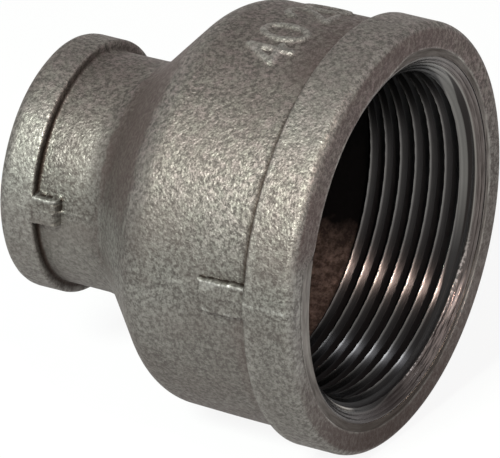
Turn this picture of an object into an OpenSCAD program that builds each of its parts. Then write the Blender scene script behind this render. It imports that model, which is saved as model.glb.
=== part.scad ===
// Reducing coupling: a banded malleable iron casting with a tapped socket at each end.
// The flow axis is X. The large mouth faces +X and the small mouth faces -X.
// The mould's parting plane is XY, so the casting lugs stand on the +Y and -Y sides.

/* [Overall] */
// Length over the two end faces
overall_length = 52.5; // [47:0.5:75]
// Angle of the shoulder to the flow axis
shoulder_angle = 47; // [36:1:58]
// Wall of the cast shoulder, square to its surface
shoulder_wall = 4.2; // [3.4:0.1:5]
// Radius of the hollow fillet between neck and shoulder
neck_fillet = 7; // [4:0.5:9]
// Radius of the round between shoulder and body
shoulder_round = 6; // [3:0.5:9]

/* [Large end] */
// Major diameter of the large thread, a 1 1/2 inch parallel pipe thread
large_thread_d = 47.803; // [42:0.001:54]
// Pitch of the large thread
large_thread_pitch = 2.309; // [2:0.001:2.6]
// Depth of the tapped socket at the large end
large_socket_depth = 17.6; // [15.5:0.1:20]
// Reach of the countersink beyond the large thread's roots
large_countersink = 1.4; // [0.8:0.05:1.8]
// How far the cored chamber stays inside the large thread's roots
chamber_inset = 0.3; // [0.1:0.05:1]
// Wall between the large thread's roots and the body
body_wall = 4.15; // [3:0.05:5.5]
// Draft of the body: how much its radius grows from the shoulder to the large band
body_draft = 0.3; // [0:0.05:0.8]
// Height of the large band above the body
large_band_rise = 1.55; // [0.8:0.05:2.5]
// Width of the large band along the axis
large_band_width = 7.3; // [5:0.1:10]
// Corner radius of the large band at its end face
large_band_corner = 1.3; // [0.6:0.1:2]

/* [Small end] */
// Major diameter of the small thread, a 3/4 inch parallel pipe thread
small_thread_d = 26.441; // [22:0.001:30]
// Pitch of the small thread
small_thread_pitch = 1.814; // [1.5:0.001:2.1]
// Depth of the tapped socket at the small end
small_socket_depth = 14.5; // [12.5:0.1:16.5]
// Reach of the countersink beyond the small thread's roots
small_countersink = 0.8; // [0.4:0.05:1.2]
// How far the cored throat stays inside the small thread's roots
throat_inset = 0.4; // [0.1:0.05:1]
// Wall between the small thread's roots and the neck
neck_wall = 3; // [2.4:0.05:4]
// Height of the small band above the neck
small_band_rise = 1.5; // [0.8:0.05:2.5]
// Width of the small band along the axis
small_band_width = 6; // [4:0.1:8]
// Corner radius of the small band at its end face
small_band_corner = 1.8; // [0.6:0.1:2.2]

/* [Casting lugs] */
// Length of the large lug behind the large band
large_lug_length = 7.4; // [4:0.1:10]
// Width of the large lug around the body
large_lug_width = 5.4; // [4:0.1:9]
// Length of the small lug behind the small band
small_lug_length = 3.8; // [2.5:0.1:6]
// Width of the small lug around the neck
small_lug_width = 4; // [2.5:0.1:6]
// Rounding of the bands' rear edges
band_edge = 0.5; // [0.2:0.1:0.7]

/* [Hidden] */
$fn = 96;

// Half the angle of the pipe thread's groove, and its depth and crest as shares of its pitch
flank_half_angle = 27.5;
thread_depth_share = 0.640327;
crest_share = 1 / 6;
// Share of the core's plain length that is throat, the rest being chamber
throat_share = 0.327;
// How far a lug reaches into the wall that carries it
lug_root = 1;
// Step angle of the round stretches in the outlines
arc_step = 9;
iron_colour = "#77706b";
thread_colour = "#4f4b49";

// Radii, from each thread outwards
large_root_r = large_thread_d / 2;
large_crest_r = large_root_r - thread_depth_share * large_thread_pitch;
large_mouth_r = large_root_r + large_countersink;
chamber_r = large_root_r - chamber_inset;
body_rear_r = large_root_r + body_wall;
body_front_r = body_rear_r + body_draft;
large_band_r = body_front_r + large_band_rise;
small_root_r = small_thread_d / 2;
small_crest_r = small_root_r - thread_depth_share * small_thread_pitch;
small_mouth_r = small_root_r + small_countersink;
throat_r = small_root_r - throat_inset;
neck_r = small_root_r + neck_wall;
small_band_r = neck_r + small_band_rise;

// Stations along the axis, from the small end face: first the core, whose cone runs from
// throat to chamber, then the outside of the shoulder, whose cone is the core's moved out by the wall
core_run = (chamber_r - throat_r) / tan(shoulder_angle);
core_plain = overall_length - small_socket_depth - large_socket_depth - core_run;
core_start = small_socket_depth + throat_share * core_plain;
core_end = core_start + core_run;
function shoulder_station(r) =
    core_start + (r - throat_r) / tan(shoulder_angle) - shoulder_wall / sin(shoulder_angle);
round_share = 1 - cos(shoulder_angle);
cone_start = shoulder_station(neck_r + neck_fillet * round_share);
cone_end = shoulder_station(body_rear_r - shoulder_round * round_share);
neck_end = cone_start - neck_fillet * sin(shoulder_angle);
body_start = cone_end + shoulder_round * sin(shoulder_angle);
band_rear = overall_length - large_band_width;
small_face_x = -overall_length / 2;

// Points of an arc in the (radius, station) plane
function arc(centre, r, from, to) =
    let (steps = max(2, ceil(abs(to - from) / arc_step)))
    [for (i = [0 : steps]) let (a = from + (to - from) * i / steps)
        [centre[0] + r * cos(a), centre[1] + r * sin(a)]];

// Outline of the wall from the small end face to the large one, then back along the core
function casting_outline() = concat(
    [[small_mouth_r, 0]],
    arc([small_band_r - small_band_corner, small_band_corner], small_band_corner, -90, 0),
    arc([small_band_r - band_edge, small_band_width - band_edge], band_edge, 0, 90),
    [[neck_r, small_band_width]],
    arc([neck_r + neck_fillet, neck_end], neck_fillet, 180, 180 - shoulder_angle),
    arc([body_rear_r - shoulder_round, body_start], shoulder_round, -shoulder_angle, 0),
    [[body_front_r, band_rear]],
    arc([large_band_r - band_edge, band_rear + band_edge], band_edge, -90, 0),
    arc([large_band_r - large_band_corner, overall_length - large_band_corner],
        large_band_corner, 0, 90),
    [
        [large_mouth_r, overall_length],
        [large_mouth_r, overall_length - large_socket_depth],
        [chamber_r, overall_length - large_socket_depth],
        [chamber_r, core_end],
        [throat_r, core_start],
        [throat_r, small_socket_depth],
        [small_mouth_r, small_socket_depth]
    ]
);

// Outline of one tapped zone, with its mouth at station 0 and its grooves as rings
function thread_outline(mouth_r, root_r, crest_r, pitch, depth) =
    let (
        crest = crest_share * pitch,
        flank = (root_r - crest_r) * tan(flank_half_angle),
        lead = mouth_r - crest_r,
        grooves = floor((depth - lead - crest) / pitch)
    )
    concat(
        [[mouth_r, 0], [crest_r, lead]],
        [for (i = [0 : grooves - 1]) let (s = lead + i * pitch + crest)
            each [
                [crest_r, s],
                [root_r, s + flank],
                [root_r, s + pitch - crest - flank],
                [crest_r, s + pitch - crest]
            ]],
        [[crest_r, depth], [mouth_r, depth]]
    );

// Turns an outline about the flow axis, with its stations running along +X from the small face
module turned(outline) {
    translate([small_face_x, 0, 0])
        rotate([0, 90, 0])
            rotate_extrude()
                polygon(outline);
}

// A pair of lugs on the parting plane, flush with the band that they stand behind
module lug_pair(band_r, wall_r, start, length, width) {
    intersection() {
        translate([small_face_x + start, 0, 0])
            rotate([0, 90, 0])
                difference() {
                    cylinder(r = band_r, h = length);
                    translate([0, 0, -lug_root])
                        cylinder(r = wall_r - lug_root, h = length + 2 * lug_root);
                }
        translate([small_face_x + start - lug_root, -2 * band_r, -width / 2])
            cube([length + 2 * lug_root, 4 * band_r, width]);
    }
}

module casting() {
    color(iron_colour)
        union() {
            turned(casting_outline());
            lug_pair(large_band_r, body_rear_r, band_rear - large_lug_length,
                large_lug_length + band_edge, large_lug_width);
            lug_pair(small_band_r, neck_r, small_band_width - band_edge,
                small_lug_length + band_edge, small_lug_width);
        }
}

module large_thread() {
    color(thread_colour)
        mirror([1, 0, 0])
            turned(thread_outline(large_mouth_r, large_root_r, large_crest_r,
                large_thread_pitch, large_socket_depth));
}

module small_thread() {
    color(thread_colour)
        turned(thread_outline(small_mouth_r, small_root_r, small_crest_r,
            small_thread_pitch, small_socket_depth));
}

casting();
large_thread();
small_thread();
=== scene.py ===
# Reducing coupling: a banded malleable iron casting, shot-blasted outside, cored inside and tapped at both
# ends. The flow axis is X, the large mouth faces +X, and the mould's parting plane is XY.
import math

import bmesh
import bpy
import numpy as np
from mathutils import Matrix, Vector


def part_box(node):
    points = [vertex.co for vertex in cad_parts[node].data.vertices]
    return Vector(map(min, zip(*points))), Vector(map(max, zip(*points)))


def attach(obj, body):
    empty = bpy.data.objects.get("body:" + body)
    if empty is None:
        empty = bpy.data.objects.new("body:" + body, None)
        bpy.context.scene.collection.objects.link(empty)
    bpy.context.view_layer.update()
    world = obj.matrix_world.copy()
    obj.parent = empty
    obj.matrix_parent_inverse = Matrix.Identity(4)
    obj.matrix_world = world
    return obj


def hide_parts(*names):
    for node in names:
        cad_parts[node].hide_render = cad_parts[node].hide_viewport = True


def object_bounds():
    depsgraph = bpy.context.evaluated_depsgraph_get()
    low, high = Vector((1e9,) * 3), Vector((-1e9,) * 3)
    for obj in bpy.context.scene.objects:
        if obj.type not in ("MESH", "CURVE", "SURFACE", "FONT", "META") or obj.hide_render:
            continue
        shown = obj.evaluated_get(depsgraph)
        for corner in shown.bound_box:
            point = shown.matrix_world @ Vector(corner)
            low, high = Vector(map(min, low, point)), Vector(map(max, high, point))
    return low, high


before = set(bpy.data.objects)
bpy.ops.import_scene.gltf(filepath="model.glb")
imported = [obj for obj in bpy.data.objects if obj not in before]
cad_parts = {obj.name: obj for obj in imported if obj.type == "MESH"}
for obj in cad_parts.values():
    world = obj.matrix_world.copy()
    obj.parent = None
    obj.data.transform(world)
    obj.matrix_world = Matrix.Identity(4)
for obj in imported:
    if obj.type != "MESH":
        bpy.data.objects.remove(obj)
cad_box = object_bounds()
mm = 0.001


# Camera
# It looks down on the coupling from the large mouth's side, far off with a long lens. It is rolled a
# little, and aims beside the middle of the coupling.
photo_width_px = 500
photo_px_per_m = 7376.6
view_azimuth = 28.75
view_elevation = 23.44
view_roll = math.radians(1.61)
view_distance = 1.2
aim_right = 2.88 * mm
aim_down = 4.11 * mm


def compass(azimuth, elevation):
    """The direction at a compass angle from -Y towards +X and at a height, both in degrees."""
    around, above = math.radians(azimuth), math.radians(elevation)
    return Vector((
        math.sin(around) * math.cos(above),
        -math.cos(around) * math.cos(above),
        math.sin(above),
    ))


towards_camera = compass(view_azimuth, view_elevation)
level_right = compass(view_azimuth + 90, 0)
level_up = towards_camera.cross(level_right)
camera_right = level_right * math.cos(view_roll) + level_up * math.sin(view_roll)
camera_up = level_up * math.cos(view_roll) - level_right * math.sin(view_roll)
camera_data = bpy.data.cameras.new("photo_camera")
camera_data.sensor_fit = "HORIZONTAL"
camera_data.sensor_width = 36
camera_data.lens = camera_data.sensor_width * photo_px_per_m * view_distance / photo_width_px
camera_data.clip_start = 0.05
camera_data.clip_end = 20
camera = bpy.data.objects.new("photo_camera", camera_data)
bpy.context.scene.collection.objects.link(camera)
camera_place = camera_right * aim_right - camera_up * aim_down + towards_camera * view_distance
camera_turn = Matrix((camera_right, camera_up, towards_camera)).transposed()
camera.matrix_world = Matrix.Translation(camera_place) @ camera_turn.to_4x4()
bpy.context.scene.camera = camera
bpy.context.scene.view_settings.view_transform = "Standard"


# Floor and studio light
# A white sweep under the coupling, a soft box beside the camera, a small warm lamp that reaches into the
# mouth and a cool one high behind it. The sweep shows as white to the camera and in reflections, and
# keeps the shadow.
def studio_lamp(name, azimuth, elevation, distance, size, power, colour):
    """A round area lamp that looks at the coupling from a compass direction and height."""
    data = bpy.data.lights.new(name, "AREA")
    data.shape = "DISK"
    data.size = size
    data.energy = power
    data.color = colour
    lamp = bpy.data.objects.new(name, data)
    bpy.context.scene.collection.objects.link(lamp)
    place = compass(azimuth, elevation) * distance
    lamp.matrix_world = Matrix.Translation(place) @ place.to_track_quat("Z", "Y").to_matrix().to_4x4()


studio_lamp(
    "front_soft_box", azimuth=1, elevation=35, distance=0.8, size=0.20, power=12.9, colour=(0.88, 0.98, 0.89))
studio_lamp(
    "mouth_lamp", azimuth=50, elevation=41, distance=0.9, size=0.05, power=2.2, colour=(1.0, 0.78, 0.69))
studio_lamp(
    "high_back_lamp", azimuth=133, elevation=60, distance=0.9, size=0.12, power=0.45, colour=(0.86, 0.92, 1))


def add_node(tree, kind, settings=None, inputs=None):
    """A new node with its settings made and its inputs set or linked, by name or number."""
    made = tree.nodes.new(kind)
    for key, value in (settings or {}).items():
        setattr(made, key, value)
    for key, value in (inputs or {}).items():
        if isinstance(value, bpy.types.NodeSocket):
            tree.links.new(value, made.inputs[key])
        else:
            made.inputs[key].default_value = value
    return made


def calc(tree, operation, first, second=0.0, third=0.0):
    """The result of a Math node."""
    inputs = {0: first, 1: second, 2: third}
    return add_node(tree, "ShaderNodeMath", {"operation": operation}, inputs).outputs[0]


def white_to_eye(tree, output, plain, white, share):
    """Mixes plain white into a surface for the rays that see it as background."""
    path = add_node(tree, "ShaderNodeLightPath").outputs
    seen = calc(tree, "MAXIMUM", path["Is Camera Ray"], path["Is Glossy Ray"])
    seen = calc(tree, "MAXIMUM", seen, path["Is Transmission Ray"])
    amount = calc(tree, "MULTIPLY", seen, share)
    inputs = {0: amount, 1: plain.outputs[0], 2: white.outputs[0]}
    mix = add_node(tree, "ShaderNodeMixShader", None, inputs)
    tree.links.new(mix.outputs[0], output.inputs["Surface"])


white = (1, 1, 1, 1)
room_colour = (0.95, 0.97, 1.0, 1)
room_light = 0.25
sky_low, sky_high = 0.1, 0.45
sky_low_light, sky_high_light = 1.0, 0.64
world = bpy.data.worlds.new("studio")
bpy.context.scene.world = world
world.use_nodes = True
world_tree = world.node_tree
world_tree.nodes.clear()
world_out = add_node(world_tree, "ShaderNodeOutputWorld")
room = add_node(world_tree, "ShaderNodeBackground", None, {"Color": room_colour, "Strength": room_light})
sky_place = add_node(world_tree, "ShaderNodeTexCoord").outputs["Generated"]
sky_height = add_node(world_tree, "ShaderNodeSeparateXYZ", None, {0: sky_place}).outputs[2]
sky_light = add_node(world_tree, "ShaderNodeMapRange", None, {
    0: sky_height, 1: sky_low, 2: sky_high, 3: sky_low_light, 4: sky_high_light}).outputs[0]
sky = add_node(world_tree, "ShaderNodeBackground", None, {"Color": white, "Strength": sky_light})
white_to_eye(world_tree, world_out, room, sky, 1.0)

floor_reach = 6.0
floor_z = cad_box[0][2]
floor_grey = (0.8, 0.8, 0.8, 1)
floor_white_share = 0.9
floor_corners = [
    (x * floor_reach, y * floor_reach, floor_z) for x, y in ((-1, -1), (1, -1), (1, 1), (-1, 1))]
floor_mesh = bpy.data.meshes.new("floor")
floor_mesh.from_pydata(floor_corners, [], [(0, 1, 2, 3)])
floor = bpy.data.objects.new("floor", floor_mesh)
bpy.context.scene.collection.objects.link(floor)
floor_paint = bpy.data.materials.new("white_sweep")
floor_paint.use_nodes = True
floor_tree = floor_paint.node_tree
floor_tree.nodes.clear()
floor_out = add_node(floor_tree, "ShaderNodeOutputMaterial")
floor_matt = add_node(floor_tree, "ShaderNodeBsdfDiffuse", None, {"Color": floor_grey})
floor_white = add_node(floor_tree, "ShaderNodeEmission", None, {"Color": white, "Strength": 1.0})
white_to_eye(floor_tree, floor_out, floor_matt, floor_white, floor_white_share)
floor_mesh.materials.append(floor_paint)


# Casting
# Malleable iron poured in a two-part sand mould round a core: large band, body, shoulder, neck and small
# band in one. The skin is shot-blasted to a fine sparkling grain, the end faces are turned, and the cored
# passage is dark: nearly black as painted shadow, with brown rust low down that is painted as lit.
casting_low, casting_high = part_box("casting")
large_low, large_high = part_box("large_thread")
small_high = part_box("small_thread")[1]
small_face_x = casting_low.x
large_face_x = casting_high.x
large_band_r = casting_high.z
large_mouth_r = large_high.z
small_mouth_r = small_high.z
large_socket_x = large_low.x
small_socket_x = small_high.x
large_band_width = 7.3 * mm
large_band_corner = 1.5 * mm
large_band_rise = 1.55 * mm
body_draft = 0.3 * mm
small_band_r = 17.72 * mm
small_band_width = 5.7 * mm
small_band_corner = 1.8 * mm
small_band_rise = 1.5 * mm
shoulder_angle = 47
neck_fillet = 7.0 * mm
shoulder_round = 6.0 * mm
neck_end_x = small_face_x + 12.26 * mm
body_start_x = small_face_x + 28.95 * mm
chamber_r = 23.6 * mm
throat_r = 12.82 * mm
core_start_x = small_face_x + 17.88 * mm
core_end_x = small_face_x + 27.93 * mm
mouth_lap = 0.4 * mm
band_edge = 0.4 * mm
band_foot = 0.45 * mm
neck_r = small_band_r - small_band_rise
body_front_r = large_band_r - large_band_rise
body_rear_r = body_front_r - body_draft
large_band_x = large_face_x - large_band_width
small_band_x = small_face_x + small_band_width


def straight(start, end, step):
    """Points (x, radius) from start up to, but without, end."""
    count = max(1, round(math.dist(start, end) / step))
    return [tuple(np.add(start, np.subtract(end, start) * i / count)) for i in range(count)]


def bend(centre, radius, first, last, step):
    """Points (x, radius) along an arc, from the first angle to the last, in degrees."""
    count = max(3, math.ceil(abs(math.radians(last - first)) * radius / step))
    angles = [math.radians(first + (last - first) * i / count) for i in range(count + 1)]
    return [(centre[0] + radius * math.cos(a), centre[1] + radius * math.sin(a)) for a in angles]


skin_step = 0.5 * mm
body_step = 0.3 * mm
edge_step = 0.2 * mm
core_step = 1.5 * mm
small_corner_at = (small_face_x + small_band_corner, small_band_r - small_band_corner)
large_corner_at = (large_face_x - large_band_corner, large_band_r - large_band_corner)
small_face_ring = straight((small_face_x, small_mouth_r), (small_face_x, small_corner_at[1]), body_step)
small_band_skin = (
    bend(small_corner_at, small_band_corner, 180, 90, skin_step)
    + straight((small_corner_at[0], small_band_r), (small_band_x - band_edge, small_band_r), skin_step)[1:]
    + bend((small_band_x - band_edge, small_band_r - band_edge), band_edge, 90, 0, edge_step)
    + bend((small_band_x + band_foot, neck_r + band_foot), band_foot, 180, 270, edge_step)
)
neck_skin = (
    straight((small_band_x + band_foot, neck_r), (neck_end_x, neck_r), body_step)[1:]
    + bend((neck_end_x, neck_r + neck_fillet), neck_fillet, 270, 270 + shoulder_angle, body_step)
)
shoulder_at = (body_start_x, body_rear_r - shoulder_round)
shoulder_top = bend(shoulder_at, shoulder_round, 90 + shoulder_angle, 90, skin_step)
body_skin = (
    straight(neck_skin[-1], shoulder_top[0], skin_step)[1:]
    + shoulder_top
    + straight((body_start_x, body_rear_r), (large_band_x - band_foot, body_front_r), body_step)[1:]
)
large_band_skin = (
    bend((large_band_x - band_foot, body_front_r + band_foot), band_foot, 270, 360, edge_step)
    + bend((large_band_x + band_edge, large_band_r - band_edge), band_edge, 180, 90, edge_step)
    + straight((large_band_x + band_edge, large_band_r), (large_corner_at[0], large_band_r), skin_step)[1:]
    + bend(large_corner_at, large_band_corner, 90, 0, edge_step)
)
core_wall = (
    [(large_face_x - mouth_lap, large_mouth_r), (large_socket_x, large_mouth_r)]
    + straight((large_socket_x, chamber_r), (core_end_x, chamber_r), core_step)
    + straight((core_end_x, chamber_r), (core_start_x, throat_r), core_step)
    + straight((core_start_x, throat_r), (small_socket_x, throat_r), core_step)
    + [(small_socket_x, throat_r), (small_socket_x, small_mouth_r)]
)

# Columns round the axis stand closer under the size mark and at the parting line, where the lugs are, and
# closest at the burr on the large lugs. Angles are in degrees.
lug_reach = 7.5
burr_first_angle, burr_last_angle = 3.2, 5.0
mark_first_angle, mark_last_angle = 68.0, 116.0
plain_column, mark_column, lug_column, burr_column = 1.3, 0.5, 0.26, 0.1
column_angles = [-lug_reach]
while column_angles[-1] < 360 - lug_reach - plain_column:
    angle = column_angles[-1]
    from_parting = min(abs((angle - side + 180) % 360 - 180) for side in (0, 180))
    column_step = plain_column
    if mark_first_angle < angle < mark_last_angle:
        column_step = mark_column
    if from_parting < lug_reach:
        column_step = lug_column
    if 0 < angle < 180 and burr_first_angle < from_parting < burr_last_angle:
        column_step = burr_column
    column_angles.append(angle + column_step)
columns = np.radians(np.array(column_angles))
column_degrees = np.degrees(columns)
ones = np.ones_like(columns)


def ramp(low, high, value):
    """0 at low and 1 at high, with a smooth rise between."""
    t = np.clip((value - low) / (high - low), 0, 1)
    return t * t * (3 - 2 * t)


def stretch(value, start, full, easing, end):
    """1 from full to easing, with a smooth rise from start and a smooth fall to end."""
    return ramp(start, full, value) * ramp(end, easing, value)


def ridge(value, middle, width):
    """1 at the middle, falling off like a bell on both sides."""
    return np.exp(-((value - middle) / width) ** 2)


def strongest(first, *others):
    """The highest of several fields at each point."""
    for other in others:
        first = np.maximum(first, other)
    return first


def ragged(value, wave, seed):
    """Uneven numbers between -1 and 1 along a value, from waves that don't repeat together."""
    turn = value / wave * 2 * math.pi
    slow, middle = np.sin(turn + seed), np.sin(turn * 2.37 + seed * 3.1)
    return (slow + middle + 0.7 * np.sin(turn * 4.91 + seed * 5.3)) / 2.7


# The large face is turned only inside a circle that isn't quite central, a little below the cast face. On
# the upper left the cast face is low, and only the edge of the mouth is turned.
facing_r = 26.4 * mm
facing_y, facing_z = -0.46 * mm, 0.17 * mm
facing_depth = 0.16 * mm
facing_wall = 0.10 * mm
turned_step = 0.05 * mm
lip_angle = math.radians(173)
lip_spread = math.radians(58)
lip_reach = 0.8 * mm
bare_edge = 0.25 * mm
cast_ring_rows = 6
faced_ring_rows = 6
facing_swing = facing_y * np.sin(columns) - facing_z * np.cos(columns)
facing_edge = facing_y * np.cos(columns) + facing_z * np.sin(columns)
facing_edge += np.sqrt(facing_r ** 2 - facing_swing ** 2)
lip_turn = (columns - lip_angle + math.pi) % (2 * math.pi) - math.pi
lip = np.cos(np.clip(lip_turn / lip_spread, -1, 1) * math.pi / 2) ** 2
mouth_edge = large_mouth_r - lip_reach * lip
turned = 1 - stretch(column_degrees, 84, 100, 163, 170)
facing_edge = mouth_edge + bare_edge + (facing_edge - mouth_edge - bare_edge) * turned
cast_ring = [large_corner_at[1] + (facing_edge - large_corner_at[1]) * i / cast_ring_rows
             for i in range(1, cast_ring_rows + 1)]
faced_ring = [facing_edge - facing_wall + (mouth_edge - facing_edge + facing_wall) * i / faced_ring_rows
              for i in range(faced_ring_rows + 1)]
faced_x = [large_face_x - facing_depth - turned_step * (i % 2) for i in range(len(faced_ring))]

# The outline runs from the small mouth over the skin to the large mouth, and back along the core
skin_outline = small_band_skin + neck_skin + body_skin + large_band_skin
row_x = [x * ones for x, r in small_face_ring + skin_outline]
row_x += [large_face_x * ones] * len(cast_ring)
row_x += [x * ones for x in faced_x]
row_x += [x * ones for x, r in core_wall]
row_r = [r * ones for x, r in small_face_ring + skin_outline]
row_r += cast_ring + faced_ring
row_r += [r * ones for x, r in core_wall]
grid_x, grid_r = np.array(row_x), np.array(row_r)
grid_a = np.repeat(columns[None, :], len(grid_x), axis=0)
skin = slice(len(small_face_ring), len(small_face_ring) + len(skin_outline))
faced_first = skin.stop + len(cast_ring)
core_first = faced_first + len(faced_ring)

# Four fields from 0 to 1 colour the skin: painted shade in crevices and on shaded sides, worn spots with
# painted light, scale in the valleys with painted shade, and painted shade on the underside. A place round
# the casting is told by its height, from -1 at the bottom over 0 at the parting line to 1 on top.
skin_x, skin_a, skin_r = grid_x[skin], grid_a[skin], grid_r[skin].copy()
height = np.sin(skin_a)
below_lugs = ramp(-0.1, -0.3, height)
from_band = skin_x - large_band_x
painted_shade = np.zeros_like(skin_r)
wear_and_painted_light = np.zeros_like(skin_r)

# Lugs: flat pads on the parting line behind each band, the small ones flush with it and the large ones
# nearly so, sloping down at the end, with a ragged burr along the upper edge
lug_end_wall = 0.12 * mm
lug_sink = 0.3
lug_end_waver, lug_side_waver = 0.25 * mm, 0.12 * mm
burr_height, burr_width = 0.18 * mm, 0.26 * mm
shade_line_width = 0.06 * mm
scrape_edge = 0.6 * mm
above_parting = 0.01


def cast_lug(band_x, away, top_r, length, half, wall, slope, tilt, share, shade, scrape, seed):
    """Raises a pair of lugs behind a band, paints shade in their crevices and marks burrs and scraped ends.
    """
    along = (skin_x - band_x) * away
    across = np.abs(height * top_r + tilt * along / length)
    behind = ramp(-2.5 * band_edge, -2 * band_edge, along)
    end = length + lug_end_waver * ragged(across, 5 * mm, seed)
    side = half + lug_side_waver * ragged(skin_x, 2.9 * mm, seed + 1)
    pad = ramp(end + lug_end_wall, end - lug_end_wall, along) * ramp(side + wall, side - wall, across)
    pad *= behind
    pad_edge = ridge(across, side - burr_width, burr_width) * pad
    # The burr is rubbed bright, and part of its brightness is a painted highlight
    burr = strongest(pad_edge, ramp(0.35, 0.6, pad) * (across > side - burr_width)) * (height > 0)
    burr *= np.clip(0.62 + 0.38 * ragged(skin_x, 1.7 * mm, seed), 0, 1) * (along > 0)
    scrape_start = end - slope * (0.85 + 0.25 * ragged(across, 3.1 * mm, seed + 2))
    scraped = ramp(scrape_start, scrape_start + scrape_edge, along) * pad * (height > above_parting)
    rise = share - lug_sink * np.clip((along - end + slope) / slope, 0, 1)
    skin_r[:] += np.maximum(top_r - skin_r, 0) * pad * rise + burr_height * burr
    # Painted shade: a dark line at the foot of the lug's upper wall and at its end
    near = ramp(end + shade, end, along) * ramp(side + shade_line_width + wall, side + wall, across)
    shaded = near * ramp(0.55, 0.2, pad) * behind * (along > 0) * (height > above_parting)
    painted_shade[:] = strongest(painted_shade, shaded)
    lower_edge = pad_edge * (height < 0) * ramp(-0.2, 0.6, ragged(skin_x, 4.3 * mm, seed))
    wear_and_painted_light[:] = strongest(wear_and_painted_light, burr, scrape * scraped, scrape * lower_edge)


cast_lug(
    band_x=small_band_x, away=1, top_r=small_band_r, length=3.6 * mm, half=2.0 * mm, wall=0.12 * mm,
    slope=0.6 * mm, tilt=0.0, share=1.0, shade=0.8 * mm, scrape=0.0, seed=0.4)
cast_lug(
    band_x=large_band_x, away=-1, top_r=large_band_r, length=7.4 * mm, half=2.35 * mm, wall=0.07 * mm,
    slope=3.0 * mm, tilt=0.45 * mm, share=0.86, shade=0.15 * mm, scrape=0.35, seed=2.2)


# Each band has painted shade at its foot, where it rises from the neck or the body. It is narrower and
# fainter on top, and the large one is also fainter below the lugs, where the band's edge is rubbed.
def paint_foot_shade(foot_x, foot_r, reach_x, reach_r, top_start, top_fade, low_fade, narrower):
    """Paints shade into the crevice at the foot of a band."""
    foot_gap = np.hypot((skin_x - foot_x) / reach_x, (skin_r - foot_r) / reach_r)
    foot_gap *= 1 + narrower * ramp(0.4, 0.85, height) + 0.3 * ramp(-0.05, -0.3, height)
    foot_gap *= 1 + 0.15 * ragged(skin_a * foot_r, 7 * mm, 2.0)
    foot_kept = 1 - top_fade * ramp(top_start, 0.97, height) - low_fade * ramp(0.05, -0.10, height)
    painted_shade[:] = strongest(painted_shade, 0.93 * ramp(1.5, 0.5, foot_gap) * foot_kept)


paint_foot_shade(
    foot_x=small_band_x, foot_r=neck_r, reach_x=0.4 * mm, reach_r=1.1 * mm,
    top_start=0.60, top_fade=0.5, low_fade=0.0, narrower=0.7)
paint_foot_shade(
    foot_x=large_band_x, foot_r=body_front_r, reach_x=1.1 * mm, reach_r=1.2 * mm,
    top_start=0.80, top_fade=0.85, low_fade=0.85, narrower=0.3)
edge_rub = 0.12 + 0.12 * below_lugs
wear_and_painted_light = strongest(wear_and_painted_light, edge_rub * ridge(from_band, 0.6 * mm, 0.4 * mm))

# Dark scale is left on the slope of the shoulder above the lugs, and as a thin line below them. Painted
# light brightens the neck and the shoulder beside it a little, above, at and below the parting line.
scale_edge, scale_fade = 0.15 * mm, 0.5 * mm
valley_start = neck_end_x + 2.9 * mm + 0.4 * mm * ragged(skin_a * neck_r, 11 * mm, 0.3)
valley_end = body_start_x - 4.4 * mm + 0.8 * mm * ragged(skin_a * neck_r, 9 * mm, 1.3)
valley_end -= 3.0 * mm * ramp(0.35, 0.0, height)
scale_and_shade = ramp(valley_start - scale_edge, valley_start + scale_edge, skin_x)
scale_and_shade *= ramp(valley_end + scale_fade, valley_end - scale_fade, skin_x) * ramp(-0.05, 0.42, height)
scale_and_shade *= 0.65 - 0.45 * ramp(-0.1, 0.5, np.cos(skin_a))
neck_line = ridge(skin_x, valley_start + 0.3 * mm, 0.5 * mm) * stretch(height, -0.5, -0.3, 0.0, 0.3)
scale_and_shade = strongest(scale_and_shade, 0.4 * neck_line)
neck_painted_light = stretch(skin_x, neck_end_x - 2 * mm, neck_end_x, valley_start - 0.3 * mm, valley_start)
neck_painted_light *= stretch(height, 0.02, 0.2, 0.6, 0.8)
middle_painted_light = ramp(valley_start, valley_start + 1 * mm, skin_x)
middle_painted_light *= ramp(body_start_x - 5 * mm, body_start_x - 8 * mm, skin_x)
middle_painted_light *= stretch(height, -0.3, -0.1, 0.1, 0.25)
shoulder_painted_light = ramp(valley_end + 0.3 * mm, valley_end + 1 * mm, skin_x)
shoulder_painted_light *= ramp(body_start_x, body_start_x - 2 * mm, skin_x) * ramp(0.1, 0.4, height)
lower_painted_light = ramp(body_start_x - 9 * mm, body_start_x - 5 * mm, skin_x)
lower_painted_light *= ramp(body_start_x + 8 * mm, body_start_x + 2 * mm, skin_x)
lower_painted_light *= stretch(height, -0.5, -0.3, -0.12, -0.02)
wear_and_painted_light = strongest(wear_and_painted_light, 0.08 * neck_painted_light, 0.12 * middle_painted_light, 0.10 * shoulder_painted_light, 0.09 * lower_painted_light)

# The skin is darker brown behind the large band on top and below the lugs, and at the bottom of the body
behind_band = 0.7 * ramp(-8 * mm, -1 * mm, from_band) * ramp(0.84, 0.96, height)
below_lug = 0.4 * ramp(-3.2 * mm, -1.6 * mm, from_band) * ramp(-0.06, -0.16, height)
under_body = 0.35 * ramp(-4 * mm, 0, skin_x - body_start_x) * ramp(-0.66, -0.82, height)
scale_and_shade = strongest(scale_and_shade, strongest(behind_band, below_lug, under_body) * (skin_x < large_band_x))

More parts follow.
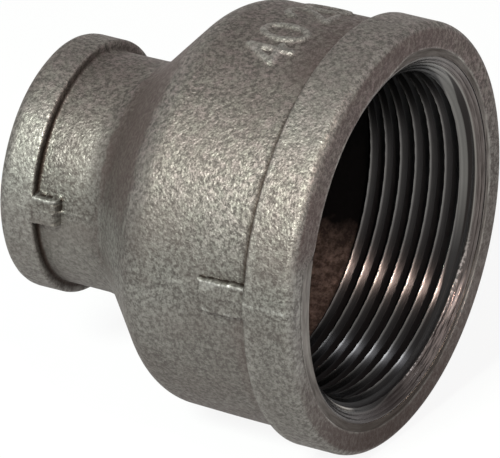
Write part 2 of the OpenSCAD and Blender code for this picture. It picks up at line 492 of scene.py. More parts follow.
# The large face gets painted shade that changes round it: brown at the top and bottom, darkest on its lower
# part and in a patch on the upper left; and a painted highlight on the left
on_face = ramp(large_face_x - 0.35 * mm, large_face_x - 0.05 * mm, skin_x)
face_shade_patch = stretch(column_degrees, 143, 150, 163, 168)
face_highlight_side = stretch(column_degrees, 166, 172, 195, 210)
face_highlight = 0.26 * face_highlight_side
face_brown_shade = 0.55 - 0.2 * np.sin(columns) - 0.45 * np.cos(2 * columns)
face_brown_shade = np.clip(face_brown_shade + 0.7 * face_shade_patch - 0.3 * face_highlight_side, 0, 1)
face_dark_shade = -0.25 - 0.45 * np.sin(columns) - 0.35 * np.cos(2 * columns)
face_dark_shade = np.clip(face_dark_shade + 0.5 * face_shade_patch, 0, 1)
scale_and_shade = strongest(scale_and_shade, on_face * face_brown_shade)
painted_shade = strongest(painted_shade, on_face * face_dark_shade)
wear_and_painted_light = strongest(wear_and_painted_light, on_face * face_highlight)

# Painted shade darkens the underside and its grain is evened out, most of all on the neck, which also gets
# painted shade just above the parting line and painted light below it
on_neck = ramp(neck_end_x + 4 * mm, neck_end_x + 1 * mm, skin_x) * (skin_x > small_band_x)
underside_shade = strongest(0.4 * ramp(0.07, -0.42, height), 0.7 * on_neck * ramp(0.0, -0.12, height))
low_neck_painted_light = 0.07 * ramp(neck_end_x + 2 * mm, neck_end_x, skin_x) * ramp(-0.1, -0.4, height)
wear_and_painted_light = strongest(wear_and_painted_light, low_neck_painted_light)
painted_shade = strongest(painted_shade, 0.16 * on_neck * stretch(height, -0.05, 0.05, 0.2, 0.42))

# Painted light brightens the bands a little: the large one above and below, where painted shade dulls its
# middle, and on the near side of its corner, and the small one all over, less on top
on_band = (skin_x > large_band_x) * (1 - on_face)
scale_and_shade = strongest(scale_and_shade, 0.2 * on_band * stretch(height, 0.1, 0.3, 0.5, 0.75))
band_painted_light = on_band * (0.11 * ramp(0.55, 0.8, height) + 0.05 * below_lugs)
corner_painted_light = 0.12 * ramp(large_face_x - 1.2 * mm, large_face_x - 0.6 * mm, skin_x) * (1 - on_face)
corner_painted_light *= ramp(-0.3, 0.5, -np.cos(skin_a + 0.25))
small_band_painted_light = 0.07 + 0.09 * ramp(0.85, 0.6, height)
small_band_painted_light *= ramp(small_band_x, small_band_x - band_edge, skin_x)
wear_and_painted_light = strongest(wear_and_painted_light, band_painted_light, corner_painted_light, small_band_painted_light)

# Size mark: the nominal sizes of the two ends in raised figures, which read round the body with their tops
# to the neck. A figure is a line through points in a box that is 1 wide and 1 high.
figure_rise = 0.36 * mm
figure_half = 0.48 * mm
figure_edge = 0.18 * mm
figure_height, figure_width = 6.4 * mm, 3.6 * mm
figure_x = small_face_x + 36.4 * mm
figure_angles = {108.0: "4", 98.0: "0", 84.0: "2", 74.0: "0"}
round_turn = [math.radians(a) for a in range(0, 361, 15)]
hook_turn = [math.radians(a) for a in range(170, -46, -15)]
hook = [(0.48 * math.cos(a), 0.22 + 0.28 * math.sin(a)) for a in hook_turn]
figure_lines = {
    "0": [(0.5 * math.cos(a), 0.5 * math.sin(a)) for a in round_turn],
    "2": hook + [(-0.5, -0.5), (0.5, -0.5)],
    "4": [(0.22, -0.5), (0.22, 0.5), (-0.5, -0.2), (0.5, -0.2)],
}
figures = np.zeros_like(skin_r)
for figure_angle, figure in figure_angles.items():
    over = (math.radians(figure_angle) - skin_a) * body_front_r
    up = figure_x - skin_x
    points = [(x * figure_width, y * figure_height) for x, y in figure_lines[figure]]
    for (start_x, start_y), (end_x, end_y) in zip(points[:-1], points[1:]):
        run_x, run_y = end_x - start_x, end_y - start_y
        part = ((over - start_x) * run_x + (up - start_y) * run_y) / (run_x * run_x + run_y * run_y)
        part = np.clip(part, 0, 1)
        gap = np.hypot(over - start_x - part * run_x, up - start_y - part * run_y)
        figures = strongest(figures, ramp(figure_half + figure_edge, figure_half - figure_edge, gap))
skin_r += figure_rise * figures
figure_rub = 0.28 + 0.14 * ragged(skin_x + 0.7 * skin_a * skin_r, 2.3 * mm, 0.5)
wear_and_painted_light = strongest(wear_and_painted_light, figures * figure_rub)

# The mould's halves leave a faint raised line round the parting plane, rubbed bright on the large band, and
# the whole skin is a little uneven
flash_height, flash_width = 0.07 * mm, 0.25 * mm
uneven_height = 0.05 * mm
flash = ridge(height * skin_r, 0, flash_width) * (0.5 + 0.5 * ragged(skin_x, 6 * mm, 1.0))
wear_and_painted_light = strongest(wear_and_painted_light, flash * np.where(skin_x > large_band_x, 0.6, 0.12))
skin_r += flash_height * flash
uneven = np.sin(3 * skin_a + skin_x / (9 * mm)) * np.sin(5 * skin_a - skin_x / (5 * mm) + 1)
skin_r += uneven_height * uneven
grid_r[skin] = np.minimum(skin_r, large_band_r)

grid = np.stack([grid_x, grid_r * np.cos(grid_a), grid_r * np.sin(grid_a)], axis=-1)
rows, cols = grid_x.shape
index = np.arange(rows * cols).reshape(rows, cols)
next_row, next_col = np.roll(index, -1, axis=0), np.roll(index, -1, axis=1)
next_both = np.roll(next_row, -1, axis=1)
quads = np.stack([index, next_row, next_both, next_col], axis=-1).reshape(-1, 4)
casting_mesh = bpy.data.meshes.new("casting_skin")
casting_mesh.from_pydata(grid.reshape(-1, 3).tolist(), [], quads.tolist())
blasted_slot, faced_slot, cored_slot = 0, 1, 2
surface = np.full((rows, cols), blasted_slot, dtype=np.int32)
surface[:skin.start] = faced_slot
surface[faced_first - 1:core_first - 1] = faced_slot
surface[core_first - 1:] = cored_slot
casting_mesh.polygons.foreach_set("material_index", surface.ravel())

# On the large face the fields go on from the skin. The turned part's edge is rubbed, with a painted
# highlight on the left, and painted shade lies beside it.
facing_rub_and_highlight = strongest(0.35 + 0.35 * ragged(columns * facing_r, 21 * mm, 0.8), 0.5 * face_highlight_side)
facing_shade = strongest(face_dark_shade, 0.4 * face_highlight_side)
for name, values, on_ring, beside_edge, on_edge in (
        ("painted_shade", painted_shade, face_dark_shade, facing_shade, face_dark_shade),
        ("wear_and_painted_light", wear_and_painted_light, face_highlight, 0.0, facing_rub_and_highlight),
        ("scale_and_shade", scale_and_shade, face_brown_shade, face_brown_shade, face_brown_shade),
        ("underside_shade", underside_shade, underside_shade[-1], underside_shade[-1], underside_shade[-1])):
    field = np.zeros((rows, cols))
    field[skin] = values
    field[skin.stop:core_first] = on_ring
    field[faced_first - 2] = beside_edge
    field[faced_first - 1] = on_edge
    casting_mesh.attributes.new(name, "FLOAT", "POINT").data.foreach_set("value", field.ravel())
casting = bpy.data.objects.new("casting_skin", casting_mesh)
bpy.context.scene.collection.objects.link(casting)


def close_and_shade(mesh, sharp_angle):
    """Merges doubles, turns a closed mesh's faces outwards and shades it smooth up to an angle in degrees."""
    work = bmesh.new()
    work.from_mesh(mesh)
    bmesh.ops.remove_doubles(work, verts=work.verts, dist=1e-7)
    bmesh.ops.recalc_face_normals(work, faces=work.faces)
    for edge in work.edges:
        edge.smooth = edge.is_manifold and edge.calc_face_angle(0) < math.radians(sharp_angle)
    for face in work.faces:
        face.smooth = True
    work.to_mesh(mesh)
    work.free()


close_and_shade(casting_mesh, 50)


def new_group(name, inputs, outputs):
    """A shader node group with float sockets; returns it with its inputs' sockets and its output node."""
    group = bpy.data.node_groups.new(name, "ShaderNodeTree")
    for label, value in inputs.items():
        socket = group.interface.new_socket(label, in_out="INPUT", socket_type="NodeSocketFloat")
        socket.default_value = value
    for label in outputs:
        group.interface.new_socket(label, in_out="OUTPUT", socket_type="NodeSocketFloat")
    return group, add_node(group, "NodeGroupInput").outputs, add_node(group, "NodeGroupOutput")


def placed(tree, group, inputs=None):
    """The outputs of a node group that is placed in a material with its own values."""
    return add_node(tree, "ShaderNodeGroup", {"node_tree": group}, inputs).outputs


def new_material(name, settings):
    """A material with its Principled shader's plain inputs set; returns it with its tree and shader."""
    material = bpy.data.materials.new(name)
    material.use_nodes = True
    shader = material.node_tree.nodes["Principled BSDF"]
    for label, value in settings.items():
        shader.inputs[label].default_value = value
    return material, material.node_tree, shader


def blend(tree, amount, first, second):
    """A colour between two, by an amount from 0 to 1."""
    inputs = {0: amount, 6: first, 7: second}
    return add_node(tree, "ShaderNodeMix", {"data_type": "RGBA"}, inputs).outputs[2]


def spread(tree, value, low, high, new_low=0.0, new_high=1.0):
    """A value moved from one range to another and kept inside it."""
    inputs = {0: value, 1: low, 2: high, 3: new_low, 4: new_high}
    return add_node(tree, "ShaderNodeMapRange", {"clamp": True}, inputs).outputs[0]


def product(tree, first, *others):
    """Several values multiplied."""
    for other in others:
        first = calc(tree, "MULTIPLY", first, other)
    return first


def named_value(tree, name):
    """A value stored on the mesh's points."""
    return add_node(tree, "ShaderNodeAttribute", {"attribute_name": name}).outputs["Fac"]


def object_place(tree):
    """The X, Y and Z of a point on the object."""
    place = add_node(tree, "ShaderNodeTexCoord").outputs["Object"]
    return add_node(tree, "ShaderNodeSeparateXYZ", None, {0: place}).outputs


def add_bumps(tree, shader, strength, distance, height):
    """Fine bumps in a material's surface."""
    bump = add_node(tree, "ShaderNodeBump", None, {
        "Strength": strength, "Distance": distance, "Height": height})
    tree.links.new(bump.outputs[0], shader.inputs["Normal"])


# Grain of a blasted or sand-cast surface: fine bumps, paler and darker grains, and wide soft patches
grain_group, grain_in, grain_out = new_group(
    "cast_grain", {"Grains per Metre": 2800.0, "Patches per Metre": 110.0}, ("Height", "Speckle", "Patch"))
grain_place = add_node(grain_group, "ShaderNodeTexCoord").outputs["Object"]
speckle_scale = product(grain_group, grain_in["Grains per Metre"], 0.55)
for label, scale, detail, roughness in (
        ("Height", grain_in["Grains per Metre"], 1.0, 0.5),
        ("Speckle", speckle_scale, 3.0, 0.85),
        ("Patch", grain_in["Patches per Metre"], 3.0, 0.55)):
    noise = add_node(grain_group, "ShaderNodeTexNoise", None, {
        "Vector": grain_place, "Scale": scale, "Detail": detail, "Roughness": roughness})
    grain_group.links.new(noise.outputs[0], grain_out.inputs[label])

# The blasted skin: pale and dark grains of clean iron, greyer low down as a painted tint of cooler light,
# under dull patches, scale and painted shade, with worn spots and painted light
warm_grain = (0.229, 0.206, 0.184, 1)
pink_grain = (0.246, 0.200, 0.191, 1)
cool_lit_grain = (0.218, 0.213, 0.195, 1)
dark_grain = (0.071, 0.062, 0.058, 1)
shaded_pale_grain = (0.176, 0.162, 0.148, 1)
shaded_dark_grain = (0.137, 0.124, 0.115, 1)
dull_iron = (0.115, 0.094, 0.087, 1)
scale_and_shade_brown = (0.096, 0.068, 0.064, 1)
rubbed_and_lit_iron = (0.50, 0.49, 0.46, 1)
bright_iron = (0.88, 0.86, 0.82, 1)
shade_black = (0.024, 0.015, 0.011, 1)
blasted, tree, shader = new_material("shot_blasted_iron", {
    "Metallic": 0.9, "Specular Tint": (0.68, 0.66, 0.65, 1)})
grain = placed(tree, grain_group)
speckle = spread(tree, grain["Speckle"], 0.40, 0.62)
patch = spread(tree, grain["Patch"], 0.40, 0.65)
tint = spread(tree, placed(tree, grain_group, {"Patches per Metre": 650.0})["Patch"], 0.38, 0.62)
pale = blend(tree, tint, warm_grain, pink_grain)
# Painted tint: the grain turns greyer low down, as under cooler light
cool_light_below = spread(tree, object_place(tree)[2], 15 * mm, 3 * mm, 0.0, 0.85)
pale = blend(tree, cool_light_below, pale, cool_lit_grain)
# Painted shade darkens the grain on the underside
on_underside_shade = named_value(tree, "underside_shade")
dark = blend(tree, on_underside_shade, dark_grain, shaded_dark_grain)
pale = blend(tree, on_underside_shade, pale, shaded_pale_grain)
colour = blend(tree, speckle, dark, pale)
colour = blend(tree, product(tree, patch, 0.4), colour, dull_iron)
in_scale_and_shade = named_value(tree, "scale_and_shade")
# Scale, and painted shade in places, turn the grain brown
scale = product(tree, in_scale_and_shade, spread(tree, speckle, 0.0, 1.0, 0.8, 0.6))
colour = blend(tree, scale, colour, scale_and_shade_brown)
# Worn spots and painted light brighten the grain
wear_and_light = named_value(tree, "wear_and_painted_light")
rubbed_and_lit = product(tree, wear_and_light, spread(tree, speckle, 0.0, 1.0, 0.45, 1.1))
bare = blend(tree, spread(tree, wear_and_light, 0.5, 0.9), rubbed_and_lit_iron, bright_iron)
colour = blend(tree, rubbed_and_lit, colour, bare)
# Painted shade darkens crevices, band feet and shaded sides nearly to black
colour = blend(tree, named_value(tree, "painted_shade"), colour, shade_black)
tree.links.new(colour, shader.inputs["Base Color"])
tree.links.new(spread(tree, speckle, 0.0, 1.0, 0.62, 0.48), shader.inputs["Roughness"])
evened = spread(tree, calc(tree, "MAXIMUM", in_scale_and_shade, on_underside_shade), 0.2, 1.0, 0.45, 0.28)
add_bumps(tree, shader, evened, 0.2 * mm, grain["Height"])
casting_mesh.materials.append(blasted)

# Marks of turning and tapping: fine lines that run round the axis, broken streaks and wider rings
streaks_per_radian = 7.0
marks_group, marks_in, marks_out = new_group(
    "turned_marks", {"Marks per Metre": 4000.0}, ("Height", "Streak", "Ring"))
marks_x, marks_y, marks_z = object_place(marks_group)
marks_r = calc(marks_group, "SQRT", calc(
    marks_group, "ADD", product(marks_group, marks_y, marks_y), product(marks_group, marks_z, marks_z)))
marks_at = calc(marks_group, "ADD", marks_r, marks_x)
marks_lines = add_node(marks_group, "ShaderNodeTexNoise", {"noise_dimensions": "1D"}, {
    "W": marks_at, "Scale": marks_in["Marks per Metre"], "Detail": 2.0})
marks_along = add_node(marks_group, "ShaderNodeCombineXYZ", None, {
    0: product(marks_group, marks_at, marks_in["Marks per Metre"], 0.55),
    1: product(marks_group, calc(marks_group, "DIVIDE", marks_y, marks_r), streaks_per_radian),
    2: product(marks_group, calc(marks_group, "DIVIDE", marks_z, marks_r), streaks_per_radian)})
marks_streak = add_node(marks_group, "ShaderNodeTexNoise", None, {
    "Vector": marks_along.outputs[0], "Scale": 1.0, "Detail": 3.0, "Roughness": 0.65})
marks_ring = add_node(marks_group, "ShaderNodeTexNoise", {"noise_dimensions": "1D"}, {
    "W": marks_at, "Scale": product(marks_group, marks_in["Marks per Metre"], 0.25), "Detail": 3.0})
for label, node in (("Height", marks_lines), ("Streak", marks_streak), ("Ring", marks_ring)):
    marks_group.links.new(node.outputs[0], marks_out.inputs[label])

# The turned faces: streaks of bare iron under painted shade, with a rubbed edge and painted highlights
turned_dark = (0.065, 0.055, 0.050, 1)
turned_pale = (0.185, 0.168, 0.157, 1)
turned_shade = (0.052, 0.043, 0.039, 1)
turned_bright = (0.50, 0.48, 0.45, 1)
faced, tree, shader = new_material("faced_iron", {"Metallic": 0.8, "Specular Tint": (0.6, 0.58, 0.56, 1)})
marks = placed(tree, marks_group)
streak = spread(tree, marks["Streak"], 0.35, 0.65)
colour = blend(tree, streak, turned_dark, turned_pale)
# Painted shade darkens the face in places, and painted highlights and the rubbed edge brighten it
colour = blend(tree, product(tree, named_value(tree, "scale_and_shade"), 0.75), colour, turned_shade)
colour = blend(tree, product(tree, named_value(tree, "wear_and_painted_light"), 0.6), colour, turned_bright)
colour = blend(tree, named_value(tree, "painted_shade"), colour, shade_black)
tree.links.new(colour, shader.inputs["Base Color"])
tree.links.new(spread(tree, streak, 0.0, 1.0, 0.5, 0.36), shader.inputs["Roughness"])
add_bumps(tree, shader, 0.4, 0.05 * mm, marks["Height"])
casting_mesh.materials.append(faced)

# The cored passage: nearly black as painted shadow, with brown rust up to an uneven line in its lower part;
# the rust is painted as lit, and the line is the edge of the painted shadow
core_shadow_black = (0.0025, 0.002, 0.002, 1)
dark_rust = (0.11, 0.082, 0.070, 1)
pale_rust = (0.42, 0.31, 0.26, 1)
cored, tree, shader = new_material("cored_iron", {
    "Metallic": 0.0, "Roughness": 0.85, "Specular IOR Level": 0.15})
grain = placed(tree, grain_group, {"Grains per Metre": 1300.0, "Patches per Metre": 330.0})
patch = spread(tree, grain["Patch"], 0.35, 0.65, 0.45, 1.0)
# Painted light and shadow: the rust below an uneven line stands lit, and the rest is black as shadow
lit_rust_low = calc(tree, "SUBTRACT", object_place(tree)[2], 2.5 * mm)
lit_rust_line = calc(tree, "MULTIPLY_ADD", grain["Patch"], 5 * mm, lit_rust_low)
lit_rust = product(tree, patch, spread(tree, lit_rust_line, -9.3 * mm, -13.8 * mm))
rust_colour = blend(tree, spread(tree, grain["Speckle"], 0.42, 0.72), dark_rust, pale_rust)
colour = blend(tree, lit_rust, core_shadow_black, rust_colour)
tree.links.new(colour, shader.inputs["Base Color"])
add_bumps(tree, shader, 0.6, 0.3 * mm, grain["Height"])
casting_mesh.materials.append(cored)
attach(casting, "root")
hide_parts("casting")


# Large thread
# The tapped zone inside the large mouth: a right-hand pipe thread cut with a tap, seven turns deep, black
# with oil. A 45 degree countersink leads into it, and cuts the first crest down to a wide land.
socket_floats = (
    "Mouth X", "Inward", "Depth", "Set Back", "Mouth Radius", "Crest Radius", "Root Radius", "Pitch", "Phase")
socket_counts = ("Rings", "Segments")
groove_points = ((0.03, 1.0), (0.17, 0.36), (0.57, 0.03), (0.60, 0.0), (0.64, 0.06), (0.95, 1.0))
run_out_share = 0.1
chatter_wave, chatter_depth = 0.5 * mm, 0.02 * mm
chatter_swings = 3
outward_reach = 3.0 * mm


def socket_tree():
    """Geometry Nodes that cut a helical thread, with its countersink, into a sleeve round the X axis."""
    tree = bpy.data.node_groups.new("tapped_socket", "GeometryNodeTree")
    tree.interface.new_socket("Geometry", in_out="INPUT", socket_type="NodeSocketGeometry")
    for label in socket_floats:
        tree.interface.new_socket(label, in_out="INPUT", socket_type="NodeSocketFloat")
    for label in socket_counts:
        tree.interface.new_socket(label, in_out="INPUT", socket_type="NodeSocketInt")
    tree.interface.new_socket("Material", in_out="INPUT", socket_type="NodeSocketMaterial")
    tree.interface.new_socket("Geometry", in_out="OUTPUT", socket_type="NodeSocketGeometry")
    given = add_node(tree, "NodeGroupInput").outputs

    # A sheet of Rings + 3 rows: sleeve end, sleeve mouth, then the thread from the mouth inwards, and the
    # sleeve end again
    sheet = add_node(tree, "GeometryNodeMeshGrid", None, {
        "Size X": 1.0, "Size Y": 1.0,
        "Vertices X": calc(tree, "ADD", given["Rings"], 3.0),
        "Vertices Y": calc(tree, "ADD", given["Segments"], 1.0)}).outputs["Mesh"]
    sheet_place = add_node(tree, "GeometryNodeInputPosition").outputs[0]
    spot = add_node(tree, "ShaderNodeSeparateXYZ", None, {0: sheet_place}).outputs
    row = product(tree, calc(tree, "ADD", spot[0], 0.5), calc(tree, "ADD", given["Rings"], 2.0))
    turn = calc(tree, "ADD", spot[1], 0.5)
    last_row = calc(tree, "ADD", given["Rings"], 1.5)
    on_thread = product(tree, calc(tree, "GREATER_THAN", row, 0.5), calc(tree, "LESS_THAN", row, last_row))
    on_sleeve = calc(tree, "SUBTRACT", 1.0, on_thread)
    share = calc(tree, "DIVIDE", calc(tree, "SUBTRACT", row, 1.0), given["Rings"])
    deep = product(tree, calc(tree, "MINIMUM", share, 1.0), given["Depth"])
    station = calc(tree, "ADD", product(tree, on_thread, deep), product(tree, on_sleeve, given["Depth"]))
    station = calc(tree, "MAXIMUM", station, given["Set Back"])

    # The groove winds round the axis. Over one pitch it rises from the root to a sloping crest, which is
    # highest at its inner edge, and drops to the next root. It runs out at the bottom of the socket.
    wind = calc(tree, "DIVIDE", deep, given["Pitch"])
    wind = calc(tree, "SUBTRACT", wind, product(tree, turn, given["Inward"]))
    over = calc(tree, "FRACT", calc(tree, "ADD", wind, given["Phase"]))
    profile = add_node(tree, "ShaderNodeFloatCurve", None, {"Value": over})
    profile_points = profile.mapping.curves[0].points
    profile_points[0].location = (0.0, 1.0)
    profile_points[1].location = (1.0, 1.0)
    for pitch_share, depth_share in groove_points:
        profile_points.new(pitch_share, depth_share).handle_type = "VECTOR"
    profile.mapping.update()
    left = calc(tree, "DIVIDE", calc(tree, "SUBTRACT", given["Depth"], deep), given["Pitch"])
    run_out = add_node(tree, "ShaderNodeMapRange", {"interpolation_type": "SMOOTHSTEP"}, {
        0: left, 1: run_out_share, 2: 0.0}).outputs[0]
    groove = calc(tree, "MAXIMUM", profile.outputs[0], run_out)
    thread_depth = calc(tree, "SUBTRACT", given["Root Radius"], given["Crest Radius"])
    thread_r = calc(tree, "ADD", given["Crest Radius"], product(tree, groove, thread_depth))

    # The countersink is a cone with the fine chatter of its cutter
    chatter_swing = calc(tree, "SINE", product(tree, turn, 2 * math.pi * chatter_swings))
    chatter_turn = calc(tree, "ADD", product(tree, deep, 2 * math.pi / chatter_wave), chatter_swing)
    chatter = calc(tree, "SUBTRACT", calc(tree, "SINE", chatter_turn), 1.0)
    cone_r = calc(tree, "SUBTRACT", given["Mouth Radius"], deep)
    cone_r = calc(tree, "ADD", cone_r, product(tree, chatter, chatter_depth))
    bore_r = calc(tree, "MAXIMUM", thread_r, cone_r)
    radius = calc(
        tree, "ADD", product(tree, on_thread, bore_r), product(tree, on_sleeve, given["Mouth Radius"]))

    # The material reads where the crests, their inner edges and the land are, and how far out a point lies
    crest = calc(tree, "SUBTRACT", 1.0, groove)
    cut = calc(tree, "SUBTRACT", cone_r, thread_r)
    for label, value, low, high in (
            ("crest", crest, 0.0, 1.0), ("edge", over, 0.46, 0.56),
            ("land", cut, -0.05 * mm, 0.1 * mm), ("outward", deep, outward_reach, 0.0)):
        ranged = add_node(tree, "ShaderNodeMapRange", None, {0: value, 1: low, 2: high}).outputs[0]
        store = add_node(tree, "GeometryNodeStoreNamedAttribute", {"data_type": "FLOAT", "domain": "POINT"}, {
            "Geometry": sheet, "Name": label, "Value": ranged})
        sheet = store.outputs["Geometry"]
    angle = product(tree, turn, 2 * math.pi)
    place = add_node(tree, "ShaderNodeCombineXYZ", None, {
        0: calc(tree, "ADD", given["Mouth X"], product(tree, station, given["Inward"])),
        1: product(tree, radius, calc(tree, "COSINE", angle)),
        2: product(tree, radius, calc(tree, "SINE", angle))}).outputs[0]
    for kind, inputs in (
            ("GeometryNodeSetPosition", {"Position": place}),
            ("GeometryNodeMergeByDistance", {"Distance": 1e-6}),
            ("GeometryNodeRealizeInstances", {}),
            ("GeometryNodeSetMaterial", {"Material": given["Material"]})):
        sheet = add_node(tree, kind, None, {"Geometry": sheet, **inputs}).outputs[0]
    add_node(tree, "NodeGroupOutput", None, {0: sheet})
    return tree


tapped_socket = socket_tree()


def tap(name, values):
    """An object with the mesh that the tapped socket tree makes from named values."""
    holder = bpy.data.objects.new(name + "_holder", bpy.data.meshes.new(name + "_holder"))
    bpy.context.scene.collection.objects.link(holder)
    modifier = holder.modifiers.new("tapped_socket", "NODES")
    modifier.node_group = tapped_socket
    for item in tapped_socket.interface.items_tree:
        if item.in_out == "INPUT" and item.name in values:
            modifier[item.identifier] = values[item.name]
    ready = holder.evaluated_get(bpy.context.evaluated_depsgraph_get())
    mesh = bpy.data.meshes.new_from_object(ready)
    mesh.name = name
    holder.modifiers.remove(modifier)
    bpy.data.objects.remove(holder)
    close_and_shade(mesh, 40)
    piece = bpy.data.objects.new(name, mesh)
    bpy.context.scene.collection.objects.link(piece)
    return piece


def close_to(tree, value, middle, reach, full):
    """1 where a value is within full of the middle, falling to 0 at its reach."""
    return spread(tree, calc(tree, "ABSOLUTE", calc(tree, "SUBTRACT", value, middle)), reach, full)


# The thread's grooves are black with oil, and its crests grey with a painted highlight on their inner edge
groove_black = (0.018, 0.017, 0.018, 1)
crest_dark = (0.014, 0.013, 0.013, 1)
crest_grey = (0.048, 0.045, 0.044, 1)
crest_edge_highlight = (0.16, 0.153, 0.147, 1)
tapped, tree, shader = new_material("tapped_iron", {"Specular IOR Level": 0.2})
marks = placed(tree, marks_group, {"Marks per Metre": 6000.0})
streak = spread(tree, marks["Streak"], 0.35, 0.65)
crest = named_value(tree, "crest")
on_crest = spread(tree, crest, 0.57, 0.70)
crest_tone = product(tree, spread(tree, crest, 0.62, 0.98), spread(tree, streak, 0.0, 1.0, 0.6, 1.0))
crest_colour = blend(tree, crest_tone, crest_dark, crest_grey)
# Painted highlight on the crests' inner edge
crest_colour = blend(tree, named_value(tree, "edge"), crest_colour, crest_edge_highlight)
colour = blend(tree, on_crest, groove_black, crest_colour)

# The countersink's streaked outer part ends in an edge with a painted highlight, and painted shade darkens
# the step from there to the first land. The streaked part is wider on the lower right and painted brighter
# there as a highlight, with a painted highlight line in its middle, and oily at the bottom.
rim_dark = (0.022, 0.017, 0.015, 1)
rim_pale = (0.19, 0.166, 0.156, 1)
rim_highlight_colour = (0.33, 0.272, 0.252, 1)
rim_highlight_line_colour = (0.62, 0.51, 0.47, 1)
rim_edge_highlight = (0.20, 0.19, 0.175, 1)
rim_oil_brown = (0.026, 0.018, 0.018, 1)
rim_edge_highlight_at, rim_highlight_line_at = 0.61, 0.86
rim_widening = 0.2
rim_y, rim_z = object_place(tree)[1:]
outward = named_value(tree, "outward")
rim_wider = product(tree, spread(tree, rim_y, -3 * mm, 5 * mm), spread(tree, rim_z, -10 * mm, -19 * mm))
rim_out = calc(tree, "MULTIPLY_ADD", rim_wider, rim_widening, outward)
on_rim = spread(tree, rim_out, 0.57, 0.60)
ring_tone = spread(tree, marks["Ring"], 0.38, 0.62)
rim_tone = calc(tree, "ADD", product(tree, streak, 0.45), product(tree, ring_tone, 0.55))
rim_colour = blend(tree, rim_tone, rim_dark, rim_pale)
# Painted highlight on the rim's lower right
rim_highlight = product(
    tree, spread(tree, rim_y, 4 * mm, 14 * mm), spread(tree, rim_z, -12 * mm, -17 * mm),
    spread(tree, marks["Streak"], 0.42, 0.60))
rim_colour = blend(tree, rim_highlight, rim_colour, rim_highlight_colour)
# Painted highlight line in the middle of the rim
rim_highlight_line = product(
    tree, close_to(tree, rim_out, rim_highlight_line_at, 0.08, 0.04), spread(tree, rim_z, -13 * mm, -15 * mm),
    spread(tree, rim_z, -19 * mm, -17 * mm), spread(tree, rim_y, 8 * mm, 14 * mm),
    spread(tree, marks["Streak"], 0.40, 0.60, 0.2, 1.0))
rim_colour = blend(tree, rim_highlight_line, rim_colour, rim_highlight_line_colour)
# Painted highlight along the rim's edge
rim_colour = blend(tree, close_to(tree, rim_out, rim_edge_highlight_at, 0.04, 0.02), rim_colour, rim_edge_highlight)
rim_oil = product(
    tree, spread(tree, rim_z, -14 * mm, -22 * mm, 0.0, 0.75), spread(tree, rim_y, 8 * mm, 1 * mm, 0.3, 1.0))
rim_colour = blend(tree, rim_oil, rim_colour, rim_oil_brown)

# Painted shadow covers the deeper land on the upper right, so that the pale land climbs towards the mouth
# there, and the land is black with oil in the lower half
land_dark = (0.07, 0.067, 0.063, 1)
land_pale = (0.20, 0.193, 0.182, 1)
land_shadow = (0.012, 0.011, 0.011, 1)
step_shade_black = (0.024, 0.021, 0.020, 1)
land_shadow_climb = product(tree, spread(tree, rim_y, 19.5 * mm, 5 * mm, 0.0, 0.62), spread(tree, rim_z, 0.0, 5 * mm))
on_step = calc(tree, "SUBTRACT", outward, land_shadow_climb)
land_colour = blend(tree, marks["Ring"], land_dark, land_pale)
land_colour = blend(tree, spread(tree, rim_z, 0.0, -10 * mm, 0.0, 0.8), land_colour, groove_black)
land_colour = blend(tree, spread(tree, on_step, -0.02, 0.06), land_shadow, land_colour)
# Painted shade on the step
land_colour = blend(tree, spread(tree, on_step, 0.33, 0.37), land_colour, step_shade_black)
land_colour = blend(tree, on_rim, land_colour, rim_colour)

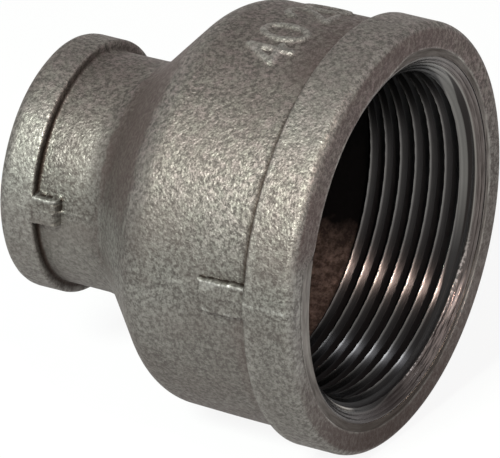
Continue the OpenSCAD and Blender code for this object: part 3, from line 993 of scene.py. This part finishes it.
# Small chips with painted highlights stand along the rim's edge on the right and in one spot lower down,
# and the land has a painted highlight in a spot on the lower left
chip_highlight_colour = (0.56, 0.495, 0.47, 1)
glint_bright = (0.58, 0.545, 0.50, 1)
chip_highlights_at, glint_at = 0.63, 0.45
chip_highlights = spread(tree, placed(tree, grain_group, {"Grains per Metre": 2600.0})["Height"], 0.44, 0.62)
chip_highlights_low = product(tree, spread(tree, rim_y, 5.5 * mm, 7 * mm), spread(tree, rim_y, 11 * mm, 9.5 * mm))
chip_highlights_spread = calc(tree, "MAXIMUM", spread(tree, rim_y, 5 * mm, 18 * mm), chip_highlights_low)
chip_highlights = product(
    tree, chip_highlights, chip_highlights_spread, spread(tree, rim_z, -7 * mm, -14 * mm),
    close_to(tree, rim_out, chip_highlights_at, 0.09, 0.05))
land_colour = blend(tree, chip_highlights, land_colour, chip_highlight_colour)
glint = product(
    tree, spread(tree, rim_y, -16 * mm, -14 * mm), spread(tree, rim_y, -8 * mm, -11 * mm),
    spread(tree, rim_z, -14 * mm, -17 * mm), close_to(tree, outward, glint_at, 0.12, 0.07))
land_colour = blend(tree, glint, land_colour, glint_bright)
on_land = named_value(tree, "land")
colour = blend(tree, on_land, colour, land_colour)
tree.links.new(colour, shader.inputs["Base Color"])
on_metal = calc(tree, "MAXIMUM", on_crest, on_land)
tree.links.new(spread(tree, on_metal, 0.0, 1.0, 0.1, 1.0), shader.inputs["Metallic"])
tree.links.new(spread(tree, on_metal, 0.0, 1.0, 0.6, 0.24), shader.inputs["Roughness"])
add_bumps(tree, shader, spread(tree, on_rim, 0.0, 1.0, 0.01, 0.8), 0.06 * mm, marks["Streak"])

rim_clearance = 0.02 * mm
large_thread = tap("large_socket", {
    "Mouth X": large_face_x, "Inward": -1.0, "Depth": large_face_x - large_socket_x,
    "Set Back": facing_depth + turned_step + rim_clearance,
    "Mouth Radius": large_mouth_r, "Crest Radius": 22.42 * mm, "Root Radius": 23.90 * mm,
    "Pitch": 2.309 * mm, "Phase": 0.377, "Rings": 470, "Segments": 200, "Material": tapped})
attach(large_thread, "root")
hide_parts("large_thread")


# Small thread
# The tapped zone inside the small mouth, cut into the same iron with a tap of a finer pipe thread. Its
# countersink starts level with the small face, which is turned all over.
small_thread = tap("small_socket", {
    "Mouth X": small_face_x, "Inward": 1.0, "Depth": small_socket_x - small_face_x,
    "Set Back": 0.0,
    "Mouth Radius": small_mouth_r, "Crest Radius": 12.06 * mm, "Root Radius": 13.22 * mm,
    "Pitch": 1.814 * mm, "Phase": 0.0, "Rings": 190, "Segments": 192, "Material": tapped})
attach(small_thread, "root")
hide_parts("small_thread")
